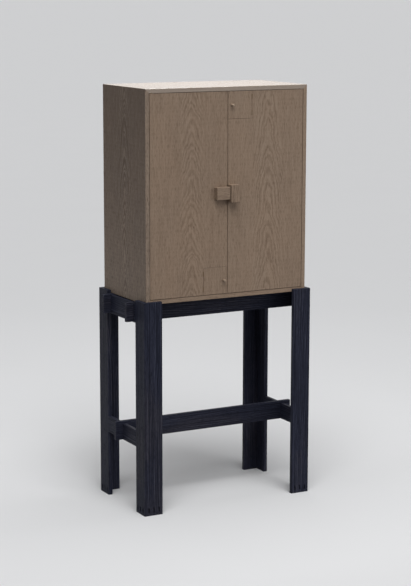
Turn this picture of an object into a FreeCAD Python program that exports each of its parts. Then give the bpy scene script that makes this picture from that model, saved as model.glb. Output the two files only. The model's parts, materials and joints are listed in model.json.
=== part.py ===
import FreeCAD, Part
import math
import os
import types

import Sketcher

# Bar cabinet with a fold-out shelf, standing on a stand of crossed planks.
#
# Millimetres.  X runs to the right, Y to the back and Z up.  The origin is on the floor,
# under the middle of the whole object, handles included.
#
# The stand has four legs.  Each is two planks mitred into an L round a corner of the
# cabinet.  Side rails and side stretchers are tenoned between the legs of one side, and
# the cross rails and the cross stretcher are halved over them and run past them at both
# ends.  The cabinet sits on the cross rails, and the leg tops embrace its corners.
#
# The two doors turn on pivot pins.  But for their handles they are the same door, turned
# half round about the depth axis, and each has a small hatch cut out of one corner at the
# meeting edge.  The shelf folds down from the left door's inner face, onto a bracket that
# swings out.

SIZES = {
    # cabinet body
    "cabinet_width": 700,
    "cabinet_depth": 371,
    "cabinet_height": 812,
    "panel_thickness": 16,
    "arris": 0.8,
    "rebate": 8,
    "back_thickness": 6,
    "back_clear": 0.2,
    # interior
    "middle_shelf_rise": 181,
    "shelf_setback": 42,
    "shelf_housing": 5,
    "upper_shelf_rise": 577,
    "upper_shelf_depth": 150,
    "upper_shelf_clear": 1,
    "shelf_pin_radius": 2.5,
    "shelf_pin_bore": 9,
    "shelf_pin_reach": 9,
    "shelf_pin_pitch": 32,
    "shelf_pin_inset": 30,
    # stand
    "stand_height": 823,
    "leg_height": 834,
    "plank_width": 76.5,
    "plank_thickness": 16,
    "cabinet_clear": 0.4,
    "rail_height": 74,
    "rail_thickness": 16.5,
    "rail_offset": 102,
    "rail_reach": 29.5,
    "side_rail_drop": 2.5,
    "stretcher_rise": 261,
    "cross_stretcher_height": 74,
    "side_stretcher_height": 64,
    "lap_clear": 0.1,
    "tenon_length": 24,
    "tenon_thickness": 6,
    "tenon_shoulder": 9,
    "mortise_clear": 0.3,
    "tongue_width": 11,
    "tongue_thickness": 4,
    "leg_tongue_stop": 40,
    "panel_tongue_stop": 20,
    # foot slots
    "slot_pitch": 22,
    "slot_edge": 17,
    "slot_rise": 14,
    "slot_length": 14.5,
    "slot_foot_radius": 4.5,
    "slot_head_radius": 2.5,
    "slot_depth": 5,
    # doors
    "door_thickness": 18,
    "door_gap": 2,
    "seam_gap": 2,
    "pivot_inset": 9,
    "pivot_depth": 5,
    "pivot_radius": 2.5,
    "pivot_shank": 10,
    "pivot_journal": 8,
    "pivot_collar_radius": 4.2,
    "bush_wall": 1,
    "bush_length": 10,
    "axial_clear": 0.1,
    "running_clear": 0.05,
    "press_clear": 0.02,
    # handles
    "handle_proud": 30,
    "handle_step": 5,
    "left_handle_width": 57,
    "left_handle_height": 47.5,
    "left_handle_rise": 2.6,
    "right_handle_width": 36.5,
    "right_handle_height": 67.5,
    "right_handle_rise": 0.8,
    "handle_arris": 1.2,
    # hatches
    "hatch_width": 105,
    "hatch_height": 105.5,
    "hatch_gap": 0.8,
    "hatch_stop_clear": 0.2,
    "hatch_bevel": 1,
    "knob_inset": 17,
    "knob_radius": 5.3,
    "knob_neck_radius": 3.8,
    "knob_neck": 4,
    "knob_proud": 16,
    "knob_edge": 1.4,
    "knob_stud_radius": 2.5,
    "knob_stud": 13,
    # catches
    "plate_thickness": 1.2,
    "plate_width": 30,
    "plate_height": 20,
    "plate_inset": 14,
    "stop_reach": 12,
    "catch_clear": 0.3,
    "catch_depth": 14,
    "catch_height": 26,
    "magnet_radius": 4,
    "magnet_thickness": 3,
    # hatch hinges
    "hatch_knuckle": 1.1,
    "hatch_pin": 0.55,
    "hatch_leaf": 0.8,
    "hatch_leaf_offset": 0.1,
    "hatch_leaf_width": 12,
    "hatch_hinge_length": 18,
    "hatch_hinge_inset": 22,
    # hinges of the fold-out shelf and its bracket
    "flap_knuckle": 2.5,
    "flap_pin": 1.25,
    "flap_leaf": 1.2,
    "flap_leaf_margin": 0.4,
    "flap_hinge_length": 30,
    "flap_hinge_inset": 36,
    "bracket_hinge_inset": 19,
    "knuckle_relief": 0.4,
    "knuckle_face_clear": 0.1,
    "knuckle_gap": 0.3,
    # fold-out shelf and bracket
    "flap_thickness": 14,
    "flap_rest_gap": 0.5,
    "fold_shelf_width": 250,
    "fold_shelf_depth": 230,
    "fold_shelf_edge": 60,
    "fold_shelf_rise": 317,
    "fold_shelf_corner": 12,
    "finger_notch_radius": 17,
    "bracket_length": 140,
    "bracket_height": 94,
    "bracket_nose": 22,
    "support_gap": 0.3,
    # screws
    "handle_screw_radius": 2,
    "handle_screw_head": 4,
    "handle_screw_bite": 18,
    "handle_screw_spread": 15,
    "back_screw_radius": 1.5,
    "back_screw_head": 3,
    "back_screw_length": 17,
    "cabinet_screw_radius": 2.5,
    "cabinet_screw_head": 5,
    "cabinet_screw_head_height": 3,
    "cabinet_screw_shoulder": 40,
    "cabinet_screw_bite": 11,
    "cabinet_screw_spread": 230,
    "counterbore_radius": 6,
    "screw_clear": 0.05,
    "slot_cut": 0.8,
}

BORE_EASE = 1.0               # how much deeper a blind bore is than what goes in it
HALF_RIGHT = math.sqrt(0.5)   # the sine and cosine of the 45 degrees of a mitre
TOUCH = 1e-4                  # how near a vertex is to count as lying on a plane

document = FreeCAD.newDocument("bar_cabinet")
sheet = document.addObject("Spreadsheet::Sheet", "Sizes")
for row, (alias, amount) in enumerate(SIZES.items(), start=1):
    sheet.set(f"A{row}", alias)
    sheet.set(f"B{row}", str(amount))
    sheet.setAlias(f"B{row}", alias)
document.recompute()

NODES = []


# ---------------------------------------------------------------- sizes and places

class Size:
    """A length that carries its value and the spreadsheet formula that gives it."""

    def __init__(self, value, formula):
        self.value = float(value)
        self.formula = formula

    def __add__(self, other):
        other = as_size(other)
        return Size(self.value + other.value, f"({self.formula} + {other.formula})")

    def __sub__(self, other):
        other = as_size(other)
        return Size(self.value - other.value, f"({self.formula} - {other.formula})")

    def __mul__(self, other):
        other = as_size(other)
        return Size(self.value * other.value, f"({self.formula} * {other.formula})")

    def __truediv__(self, other):
        other = as_size(other)
        return Size(self.value / other.value, f"({self.formula} / {other.formula})")

    def __neg__(self):
        return as_size(0) - self

    def __radd__(self, other):
        return as_size(other) + self

    def __rsub__(self, other):
        return as_size(other) - self

    def __rmul__(self, other):
        return as_size(other) * self


def as_size(amount):
    if isinstance(amount, Size):
        return amount
    return Size(amount, f"({float(amount)})")


dim = types.SimpleNamespace(**{name: Size(SIZES[name], f"Sizes.{name}") for name in SIZES})


def bind(thing, field, amount):
    thing.setExpression(field, as_size(amount).formula)


def place(thing, corner, rotation=FreeCAD.Rotation()):
    thing.Placement = FreeCAD.Placement(FreeCAD.Vector(), rotation)
    for axis, amount in zip("xyz", corner):
        bind(thing, f"Placement.Base.{axis}", amount)


def facing(x, y, z):
    """The rotation that turns a feature's own +Z to a direction."""
    return FreeCAD.Rotation(FreeCAD.Vector(0, 0, 1), FreeCAD.Vector(x, y, z))


def axes(x_axis, y_axis, z_axis):
    """The rotation whose own axes lie along three directions."""
    vectors = [FreeCAD.Vector(*axis) for axis in (x_axis, y_axis, z_axis)]
    return FreeCAD.Rotation(*vectors, "ZXY")


UP = facing(0, 0, 1)
DOWN = facing(0, 0, -1)
RIGHTWARD = facing(1, 0, 0)
LEFTWARD = facing(-1, 0, 0)
BACKWARD = facing(0, 1, 0)
FORWARD = facing(0, -1, 0)
HALF_TURN = FreeCAD.Rotation(FreeCAD.Vector(0, 1, 0), 180)

# The handles stand further out in front than the rear legs stand out behind.  This puts
# the origin midway between them.
leg_wrap = dim.cabinet_clear + dim.plank_thickness
middle_y = (dim.handle_proud - leg_wrap) / 2
half_width = dim.cabinet_width / 2
half_depth = dim.cabinet_depth / 2
half_height = dim.cabinet_height / 2
inner_half_width = half_width - dim.panel_thickness
front_y = middle_y - half_depth
middle_z = dim.stand_height + half_height
leg_x = half_width + leg_wrap
leg_y = half_depth + leg_wrap

STAND = (0, middle_y, 0)
CABINET = (0, middle_y, dim.stand_height)


def on_door(side, x=0, y=0, z=0):
    """Placement in a door's own frame: x from the meeting edges, y in from the front.

    Side +1 is the right door; -1 is the left door, which is the right one turned half
    round about the depth axis.
    """
    corner = (as_size(x) * side, front_y + y, middle_z + as_size(z) * side)
    return corner, FreeCAD.Rotation() if side > 0 else HALF_TURN


# ---------------------------------------------------------------- building helpers

def new_body(node, corner, rotation=FreeCAD.Rotation()):
    body = document.addObject("PartDesign::Body", node)
    body.Label = node
    place(body, corner, rotation)
    NODES.append(body)
    return body


def group(node, solids, corner, rotation=FreeCAD.Rotation()):
    compound = document.addObject("Part::Compound", node)
    compound.Links = solids
    compound.Label = node
    place(compound, corner, rotation)
    NODES.append(compound)
    return compound


def ordered(bounds):
    return sorted((as_size(bound) for bound in bounds), key=lambda bound: bound.value)


def set_box(box, x, y, z):
    """Give a box its size and place from its two bounds along each axis."""
    bounds = [ordered(pair) for pair in (x, y, z)]
    for field, (start, end) in zip(("Length", "Width", "Height"), bounds):
        bind(box, field, end - start)
    place(box, [start for start, end in bounds])
    return box


def add_block(body, x, y, z):
    return set_box(body.newObject("PartDesign::AdditiveBox", "Block"), x, y, z)


def cut_block(body, x, y, z):
    return set_box(body.newObject("PartDesign::SubtractiveBox", "Recess"), x, y, z)


def set_rod(rod, start, radius, length, rotation):
    bind(rod, "Radius", radius)
    bind(rod, "Height", length)
    place(rod, start, rotation)
    return rod


def cut_bore(body, start, radius, length, rotation=UP):
    bore = body.newObject("PartDesign::SubtractiveCylinder", "Bore")
    return set_rod(bore, start, radius, length, rotation)


def cut_countersink(body, start, head_radius, shank_radius, rotation):
    cone = body.newObject("PartDesign::SubtractiveCone", "Countersink")
    bind(cone, "Radius1", head_radius)
    bind(cone, "Radius2", shank_radius)
    bind(cone, "Height", head_radius - shank_radius)
    place(cone, start, rotation)


def box(x, y, z):
    return set_box(document.addObject("Part::Box", "Box"), x, y, z)


def rod(start, radius, length, rotation=UP):
    return set_rod(document.addObject("Part::Cylinder", "Rod"), start, radius, length, rotation)


def fuse(*solids):
    joined = document.addObject("Part::MultiFuse", "Fuse")
    joined.Shapes = list(solids)
    return joined


def cut(base, tool):
    remainder = document.addObject("Part::Cut", "Cut")
    remainder.Base = base
    remainder.Tool = tool
    return remainder


def sketch_on(body, role):
    sketch = body.newObject("Sketcher::SketchObject", "Outline")
    plane = next(item for item in body.Origin.OriginFeatures if item.Role == role)
    sketch.AttachmentSupport = [(plane, "")]
    sketch.MapMode = "FlatFace"
    return sketch


def pin_point(sketch, element, point, x, y):
    """Hold a point of a sketch at a place given by the spreadsheet."""
    for kind, amount in (("DistanceX", x), ("DistanceY", y)):
        if amount is not None:
            constraint = Sketcher.Constraint(kind, -1, 1, element, point, amount.value)
            index = sketch.addConstraint(constraint)
            sketch.setExpression(f"Constraints[{index}]", amount.formula)


def outline(sketch, corners):
    """Add a closed outline.  A corner is (x, y), joined to the next by a line.

    A corner with a third entry is joined to the next, at its own height, by an arc that
    runs anticlockwise about a centre midway between them, at the height of that entry.
    """
    first = sketch.GeometryCount
    corners = [[as_size(amount) for amount in corner] for corner in corners]
    spots = [FreeCAD.Vector(corner[0].value, corner[1].value, 0) for corner in corners]
    for index, corner in enumerate(corners):
        start = spots[index]
        end = spots[(index + 1) % len(spots)]
        if len(corner) == 2:
            sketch.addGeometry(Part.LineSegment(start, end), False)
            continue
        centre = FreeCAD.Vector((start.x + end.x) / 2, corner[2].value, 0)
        circle = Part.Circle(centre, FreeCAD.Vector(0, 0, 1), (start - centre).Length)
        angles = [math.atan2(spot.y - centre.y, spot.x - centre.x) for spot in (start, end)]
        sketch.addGeometry(Part.ArcOfCircle(circle, *angles), False)
    for index in range(len(corners)):
        following = first + (index + 1) % len(corners)
        sketch.addConstraint(Sketcher.Constraint("Coincident", first + index, 2, following, 1))
    for index, corner in enumerate(corners):
        pin_point(sketch, first + index, 1, corner[0], corner[1])
        if len(corner) == 3:
            pin_point(sketch, first + index, 3, None, corner[2])


def pad(body, sketch, length, symmetric=False, reverse=False):
    feature = body.newObject("PartDesign::Pad", "Pad")
    feature.Profile = sketch
    bind(feature, "Length", length)
    if symmetric:
        feature.SideType = "Symmetric"
    feature.Reversed = reverse
    return feature


def edges_where(shape, wanted):
    return [f"Edge{number}" for number, edge in enumerate(shape.Edges, start=1)
            if wanted(edge)]


def ease(body, amount, wanted=lambda edge: True):
    """Plane a narrow chamfer on the wanted edges of the piece as it stands."""
    document.recompute()
    stage = body.Tip
    chamfer = body.newObject("PartDesign::Chamfer", "Arris")
    chamfer.Base = (stage, edges_where(stage.Shape, wanted))
    bind(chamfer, "Size", amount)


def round_off(body, radius, wanted):
    document.recompute()
    stage = body.Tip
    fillet = body.newObject("PartDesign::Fillet", "Corner")
    fillet.Base = (stage, edges_where(stage.Shape, wanted))
    bind(fillet, "Radius", radius)


def lies_in(axis, level):
    """A test that an edge lies in the plane at a level along an axis."""
    level = as_size(level).value
    return lambda edge: all(abs(getattr(vertex, axis) - level) < TOUCH
                            for vertex in edge.Vertexes)


def countersunk_screw(start, radius, head_radius, length, rotation):
    """A slotted countersunk screw whose flat head is at start, driven along a direction."""
    shank = rod((0, 0, 0), radius, length)
    head = document.addObject("Part::Cone", "Head")
    bind(head, "Radius1", head_radius)
    bind(head, "Radius2", radius)
    bind(head, "Height", head_radius - radius)
    half = dim.slot_cut / 2
    slot = box((-head_radius, head_radius), (-half, half), (0, dim.slot_cut))
    screw = cut(fuse(shank, head), slot)
    place(screw, start, rotation)
    return screw


# ---------------------------------------------------------------- the stand

TONGUE = (dim.tongue_width, dim.tongue_thickness)
TONGUE_SLOT = (dim.tongue_width + 2 * dim.mortise_clear,
               dim.tongue_thickness + 2 * dim.press_clear)


def set_tongue(tongue, section, slant, centre, start, length, axis):
    """Place a loose tongue, or its slot, across the middle of a mitre, along Z or Y."""
    across, thick = section
    bind(tongue, "Length", across)
    bind(tongue, "Height" if axis == "Z" else "Width", length)
    bind(tongue, "Width" if axis == "Z" else "Height", thick)
    reach = across / 2 * HALF_RIGHT
    rise = thick / 2 * HALF_RIGHT
    if axis == "Z":
        turn = FreeCAD.Rotation(FreeCAD.Vector(0, 0, 1), -45 * slant)
        corner = (centre[0] - reach - slant * rise, centre[1] + slant * reach - rise, start)
    else:
        turn = FreeCAD.Rotation(FreeCAD.Vector(0, 1, 0), 45 * slant)
        corner = (centre[0] - reach - slant * rise, start, centre[1] + slant * reach - rise)
    place(tongue, corner, turn)
    return tongue


tenon_depth = dim.tenon_length + dim.mortise_clear
side_rail_top = dim.stand_height - dim.side_rail_drop
side_rail_base = side_rail_top - dim.rail_height
cross_rail_base = dim.stand_height - dim.rail_height
tenoned_members = (
    (side_rail_base, dim.rail_height),
    (dim.stretcher_rise, dim.side_stretcher_height),
)


def leg_plank(node, corner, turn, hand, is_side):
    """One plank of a leg, in a frame with its mitred corner at the origin.

    Its outer face is at y = 0.  It runs towards +X for hand +1 and -X for hand -1.
    """
    wide = dim.plank_width
    thick = dim.plank_thickness
    edge = dim.arris
    body = new_body(node, corner, FreeCAD.Rotation(FreeCAD.Vector(0, 0, 1), turn))
    section = [(edge, 0), (edge / 2, edge / 2), (thick, thick), (wide - edge, thick),
               (wide, thick - edge), (wide, edge), (wide - edge, 0)]
    profile = sketch_on(body, "XY_Plane")
    outline(profile, [(as_size(x) * hand, y) for x, y in section])
    pad(body, profile, dim.leg_height)

    at_top = lies_in("Z", dim.leg_height)
    ease(body, edge, lambda line: at_top(line) and not all(
        abs(abs(vertex.X) - vertex.Y) < TOUCH for vertex in line.Vertexes))

    slots = sketch_on(body, "XZ_Plane")
    for number in range(3):
        middle = (dim.slot_edge + dim.slot_pitch * number) * hand
        low = dim.slot_rise
        high = dim.slot_rise + dim.slot_length
        foot = dim.slot_foot_radius
        head = dim.slot_head_radius
        outline(slots, [(middle - foot, low, low), (middle + foot, low),
                        (middle + head, high, high), (middle - head, high)])
    pocket = body.newObject("PartDesign::Pocket", "FootSlots")
    pocket.Profile = slots
    bind(pocket, "Length", dim.slot_depth)

    set_tongue(body.newObject("PartDesign::SubtractiveBox", "TongueSlot"),
               TONGUE_SLOT, hand, (thick / 2 * hand, thick / 2),
               dim.leg_tongue_stop, dim.leg_height - 2 * dim.leg_tongue_stop, "Z")
    if is_side:
        half = dim.tenon_thickness / 2
        for base, height in tenoned_members:
            cut_block(body, ((wide - tenon_depth) * hand, wide * hand),
                      (thick / 2 - half, thick / 2 + half),
                      (base + dim.tenon_shoulder, base + height - dim.tenon_shoulder))


def side_member(node, side, base, height, crossings, lap_top):
    """A rail or stretcher tenoned between the front and rear legs of one side.

    It is notched from above, down to lap_top, where the cross members go over it.
    """
    half = dim.plank_thickness / 2
    shoulder = leg_y - dim.plank_width
    body = new_body(node, ((leg_x - half) * side, middle_y, base))
    add_block(body, (-half, half), (-shoulder, shoulder), (0, height))
    ease(body, dim.arris, lambda edge: not lies_in("Y", shoulder)(edge)
         and not lies_in("Y", -shoulder)(edge))
    tenon = dim.tenon_thickness / 2
    for end in (-1, 1):
        add_block(body, (-tenon, tenon), (shoulder * end, (shoulder + dim.tenon_length) * end),
                  (dim.tenon_shoulder, height - dim.tenon_shoulder))
    notch = dim.rail_thickness / 2 + dim.lap_clear
    for crossing in crossings:
        cut_block(body, (-half, half), (crossing - notch, crossing + notch),
                  (lap_top - base, height))


def cross_member(node, offset, base, height, lap_top, screwed):
    """A rail or stretcher that runs the width of the stand and past it at both ends."""
    half = dim.rail_thickness / 2
    reach = leg_x + dim.rail_reach
    body = new_body(node, (0, middle_y + offset, base))
    add_block(body, (-reach, reach), (-half, half), (0, height))
    ease(body, dim.arris)
    notch = dim.plank_thickness / 2 + dim.lap_clear
    crossing = leg_x - dim.plank_thickness / 2
    for end in (-1, 1):
        cut_block(body, (crossing * end - notch, crossing * end + notch), (-half, half),
                  (0, lap_top - base))
        if screwed:
            spot = (dim.cabinet_screw_spread * end, 0, 0)
            cut_bore(body, spot, dim.counterbore_radius, height - dim.cabinet_screw_shoulder)
            cut_bore(body, spot, dim.cabinet_screw_radius + dim.screw_clear, height)


def make_stand():
    for front, near in (("front", -1), ("rear", 1)):
        for flank, side in (("left", -1), ("right", 1)):
            corner = (leg_x * side, middle_y + leg_y * near, 0)
            hand = side * near
            leg_plank(f"{front}_{flank}_leg_{front}_plank", corner,
                      0 if near < 0 else 180, hand, False)
            leg_plank(f"{front}_{flank}_leg_side_plank", corner, 90 * side, -hand, True)

    tongues = []
    inset = dim.plank_thickness / 2
    for near in (-1, 1):
        for side in (-1, 1):
            centre = ((leg_x - inset) * side, (leg_y - inset) * near)
            tongue = document.addObject("Part::Box", "Tongue")
            start = dim.leg_tongue_stop + dim.mortise_clear
            tongues.append(set_tongue(tongue, TONGUE, side * near, centre, start,
                                      dim.leg_height - 2 * start, "Z"))
    group("leg_mitre_tongues", tongues, STAND)

    rail_lap = (cross_rail_base + side_rail_top) / 2
    stretcher_lap = dim.stretcher_rise + dim.side_stretcher_height / 2
    offset = dim.rail_offset
    for flank, side in (("left", -1), ("right", 1)):
        side_member(f"{flank}_side_rail", side, side_rail_base, dim.rail_height,
                    (-offset, offset), rail_lap)
        side_member(f"{flank}_side_stretcher", side, dim.stretcher_rise,
                    dim.side_stretcher_height, (as_size(0),), stretcher_lap)
    cross_member("front_cross_rail", -offset, cross_rail_base, dim.rail_height, rail_lap, True)
    cross_member("rear_cross_rail", offset, cross_rail_base, dim.rail_height, rail_lap, True)
    cross_member("cross_stretcher", as_size(0), dim.stretcher_rise,
                 dim.cross_stretcher_height, stretcher_lap, False)

    screws = []
    seat = dim.stand_height - dim.cabinet_screw_shoulder
    length = dim.cabinet_screw_shoulder + dim.cabinet_screw_bite
    for near in (-1, 1):
        for side in (-1, 1):
            x = dim.cabinet_screw_spread * side
            y = offset * near
            head = rod((x, y, seat - dim.cabinet_screw_head_height), dim.cabinet_screw_head,
                       dim.cabinet_screw_head_height)
            shank = rod((x, y, seat), dim.cabinet_screw_radius, length)
            screws.append(fuse(head, shank))
    group("cabinet_screws", screws, STAND)


# ---------------------------------------------------------------- the cabinet body

back_half_width = inner_half_width + dim.rebate
back_low = dim.panel_thickness - dim.rebate
back_high = dim.cabinet_height - back_low
back_face = half_depth - dim.back_thickness
shelf_front = dim.shelf_setback - half_depth
pivot_x = inner_half_width - dim.door_gap - dim.pivot_inset
pivot_y = dim.pivot_depth - half_depth
ceiling = dim.cabinet_height - dim.panel_thickness


def back_screw_spots():
    """Where the back is screwed on: (x, z) in the cabinet's frame, with its panel."""
    inset = dim.rebate / 2
    clear_height = dim.cabinet_height - 2 * dim.panel_thickness
    spots = []
    for side, panel in ((-1, "left"), (1, "right")):
        for number in (1, 2, 3):
            z = dim.panel_thickness + clear_height / 4 * number
            spots.append((panel, (inner_half_width + inset) * side, z))
    for panel, z in (("bottom", dim.panel_thickness - inset), ("top", ceiling + inset)):
        for side in (-1, 1):
            spots.append((panel, half_width / 2 * side, z))
    return spots


def finish_panel(body, panel, tongue_corners):
    """Cut what every carcass panel has: back rebate, tongue slots and screw pilots."""
    ease(body, dim.arris, lambda edge: lies_in("Y", -half_depth)(edge) and (
        lies_in("X", half_width)(edge) or lies_in("X", -half_width)(edge)
        or lies_in("Z", 0)(edge) or lies_in("Z", dim.cabinet_height)(edge)))
    cut_block(body, (-back_half_width, back_half_width), (back_face, half_depth),
              (back_low, back_high))
    inset = dim.panel_thickness / 2
    for side, level in tongue_corners:
        z = inset if level < 0 else dim.cabinet_height - inset
        set_tongue(body.newObject("PartDesign::SubtractiveBox", "TongueSlot"),
                   TONGUE_SLOT, side * level, ((half_width - inset) * side, z),
                   dim.panel_tongue_stop - half_depth,
                   dim.cabinet_depth - 2 * dim.panel_tongue_stop, "Y")
    bite = dim.back_screw_length - dim.back_thickness + BORE_EASE
    for owner, x, z in back_screw_spots():
        if owner == panel:
            cut_bore(body, (x, back_face, z), dim.back_screw_radius + dim.screw_clear, bite,
                     FORWARD)


def level_panel(panel, level):
    """The top (level +1) or bottom (-1) panel, mitred at both ends."""
    thick = dim.panel_thickness
    edge = dim.arris
    face = as_size(0) if level < 0 else dim.cabinet_height
    body = new_body(f"{panel}_panel", CABINET)
    profile = sketch_on(body, "XZ_Plane")
    outline(profile, [(edge - half_width, face),
                      (edge / 2 - half_width, face - edge / 2 * level),
                      (thick - half_width, face - thick * level),
                      (half_width - thick, face - thick * level),
                      (half_width - edge / 2, face - edge / 2 * level),
                      (half_width - edge, face)])
    pad(body, profile, dim.cabinet_depth, symmetric=True)
    finish_panel(body, panel, ((-1, level), (1, level)))
    mouth = face - thick * level
    for side in (-1, 1):
        cut_bore(body, (pivot_x * side, pivot_y, mouth), dim.pivot_radius + dim.press_clear,
                 dim.pivot_shank, UP if level > 0 else DOWN)
        if level < 0:
            for near in (-1, 1):
                spot = (dim.cabinet_screw_spread * side, dim.rail_offset * near, 0)
                cut_bore(body, spot, dim.cabinet_screw_radius + dim.screw_clear,
                         dim.cabinet_screw_bite + BORE_EASE)


def upright_panel(panel, side):
    """A side panel, mitred top and bottom, housed for the middle shelf."""
    thick = dim.panel_thickness
    edge = dim.arris
    high = dim.cabinet_height
    body = new_body(f"{panel}_side_panel", CABINET)
    profile = sketch_on(body, "XZ_Plane")
    section = [(half_width, edge), (half_width - edge / 2, edge / 2),
               (half_width - thick, thick), (half_width - thick, high - thick),
               (half_width - edge / 2, high - edge / 2), (half_width, high - edge)]
    outline(profile, [(x * side, z) for x, z in section])
    pad(body, profile, dim.cabinet_depth, symmetric=True)
    finish_panel(body, panel, ((side, -1), (side, 1)))
    shelf_low = dim.middle_shelf_rise
    cut_block(body, (inner_half_width * side, (inner_half_width + dim.shelf_housing) * side),
              (shelf_front, back_face), (shelf_low, shelf_low + dim.panel_thickness))
    for y in shelf_pin_places():
        for step in (-1, 0, 1):
            level = dim.upper_shelf_rise - dim.shelf_pin_radius + dim.shelf_pin_pitch * step
            cut_bore(body, (inner_half_width * side, y, level),
                     dim.shelf_pin_radius + dim.press_clear, dim.shelf_pin_bore,
                     RIGHTWARD if side > 0 else LEFTWARD)


def shelf_pin_places():
    front = back_face - dim.upper_shelf_depth + dim.shelf_pin_inset
    return (front, back_face - dim.shelf_pin_inset)


def make_cabinet():
    level_panel("top", 1)
    level_panel("bottom", -1)
    upright_panel("left", -1)
    upright_panel("right", 1)

    tongues = []
    inset = dim.panel_thickness / 2
    start = dim.panel_tongue_stop + dim.mortise_clear
    for side in (-1, 1):
        for level in (-1, 1):
            z = inset if level < 0 else dim.cabinet_height - inset
            tongue = document.addObject("Part::Box", "Tongue")
            tongues.append(set_tongue(tongue, TONGUE, side * level,
                                      ((half_width - inset) * side, z), start - half_depth,
                                      dim.cabinet_depth - 2 * start, "Y"))
    group("carcass_mitre_tongues", tongues, CABINET)

    back = new_body("back_panel", CABINET)
    slack = dim.back_clear
    add_block(back, (slack - back_half_width, back_half_width - slack),
              (back_face, half_depth), (back_low + slack, back_high - slack))
    screws = []
    for owner, x, z in back_screw_spots():
        start = (x, half_depth, z)
        cut_bore(back, start, dim.back_screw_radius + dim.screw_clear, dim.back_thickness,
                 FORWARD)
        cut_countersink(back, start, dim.back_screw_head + dim.screw_clear,
                        dim.back_screw_radius + dim.screw_clear, FORWARD)
        screws.append(countersunk_screw(start, dim.back_screw_radius, dim.back_screw_head,
                                        dim.back_screw_length, FORWARD))
    group("back_screws", screws, CABINET)

    shelf = new_body("middle_shelf", CABINET)
    reach = inner_half_width + dim.shelf_housing
    add_block(shelf, (-reach, reach), (shelf_front, back_face),
              (dim.middle_shelf_rise, dim.middle_shelf_rise + dim.panel_thickness))

    upper = new_body("upper_shelf", CABINET)
    reach = inner_half_width - dim.upper_shelf_clear
    add_block(upper, (-reach, reach), (back_face - dim.upper_shelf_depth, back_face),
              (dim.upper_shelf_rise, dim.upper_shelf_rise + dim.panel_thickness))
    ease(upper, dim.arris)
    pins = []
    length = dim.shelf_pin_bore + dim.shelf_pin_reach
    for y in shelf_pin_places():
        for side in (-1, 1):
            start = ((inner_half_width - dim.shelf_pin_reach) * side, y,
                     dim.upper_shelf_rise - dim.shelf_pin_radius)
            pins.append(rod(start, dim.shelf_pin_radius, length,
                            RIGHTWARD if side > 0 else LEFTWARD))
    group("shelf_pins", pins, CABINET)

    pivots = []
    collar = dim.door_gap - dim.axial_clear
    for side in (-1, 1):
        for mouth, outward, inward in ((ceiling, UP, DOWN), (dim.panel_thickness, DOWN, UP)):
            spot = (pivot_x * side, pivot_y, mouth)
            shank = rod(spot, dim.pivot_radius, dim.pivot_shank, outward)
            ring = rod(spot, dim.pivot_collar_radius, collar, inward)
            journal = rod(spot, dim.pivot_radius, dim.door_gap + dim.pivot_journal, inward)
            pivots.append(fuse(shank, ring, journal))
    group("door_pivot_pins", pivots, CABINET)

    # one catch below for the right door, one above for the left
    catches = []
    near = dim.door_thickness + dim.plate_thickness + dim.catch_clear - half_depth
    for side, seat, level in ((1, dim.panel_thickness, 1), (-1, ceiling, -1)):
        start = (dim.plate_inset + dim.seam_gap / 2) * side
        end = start + dim.plate_width * side
        catches.append(box((start, end), (near, near + dim.catch_depth),
                           (seat, seat + dim.catch_height * level)))
    group("door_magnet_catches", catches, CABINET)


# ---------------------------------------------------------------- hinges

# The axis of a shelf hinge lies just far enough off the door for its knuckles to clear the
# door's face.  Its leaves stop short of the board's far face, so that they never show.
flap_foot = dim.flap_knuckle + dim.knuckle_face_clear
flap_axis_y = dim.door_thickness + flap_foot
flap_start_y = dim.door_thickness + dim.flap_rest_gap
flap_end_y = flap_start_y + dim.flap_thickness
flap_leaf_width = (flap_end_y - flap_axis_y - dim.flap_knuckle - dim.knuckle_relief
                   - dim.flap_leaf_margin)

HATCH_HINGE = types.SimpleNamespace(
    knuckle=dim.hatch_knuckle, pin=dim.hatch_pin, leaf=dim.hatch_leaf,
    offset=dim.hatch_leaf_offset, width=dim.hatch_leaf_width,
    length=dim.hatch_hinge_length)
FLAP_HINGE = types.SimpleNamespace(
    knuckle=dim.flap_knuckle, pin=dim.flap_pin, leaf=dim.flap_leaf,
    offset=flap_foot - dim.flap_leaf, width=flap_leaf_width,
    length=dim.flap_hinge_length)


def hinge_leaf(hinge, side, spot, rotation):
    """One leaf of a butt hinge, in a frame with the hinge axis along its own Z.

    Closed, both leaves run towards +Y.  Side +1 is the fixed leaf, with the two outer
    knuckles and the pin held fast; -1 is the moving leaf, which runs on the pin.
    """
    half = hinge.length / 2
    third = hinge.length / 6
    gap = dim.knuckle_gap / 2
    across = (hinge.offset * side, (hinge.offset + hinge.leaf) * side)
    plate_start = hinge.knuckle + dim.knuckle_relief
    solids = [box(across, (plate_start, plate_start + hinge.width), (-half, half))]
    if side > 0:
        spans = ((-half, -third - gap), (third + gap, half))
    else:
        spans = ((gap - third, third - gap),)
    for low, high in spans:
        solids.append(box(across, (0, plate_start), (low, high)))
        solids.append(rod((0, 0, low), hinge.knuckle, high - low))
    fit = dim.press_clear if side > 0 else dim.running_clear
    bore = rod((0, 0, -half), hinge.pin + fit, hinge.length)
    leaf = cut(fuse(*solids), bore)
    place(leaf, spot, rotation)
    return leaf


def hinge_pin(hinge, spot, rotation):
    """A hinge pin: a rod inside a placed group, so that it can be turned about its middle."""
    half = hinge.length / 2
    pin = document.addObject("Part::Compound", "Pin")
    pin.Links = [rod((0, 0, -half), hinge.pin, hinge.length)]
    place(pin, spot, rotation)
    return pin


# ---------------------------------------------------------------- doors and hatches

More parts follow.
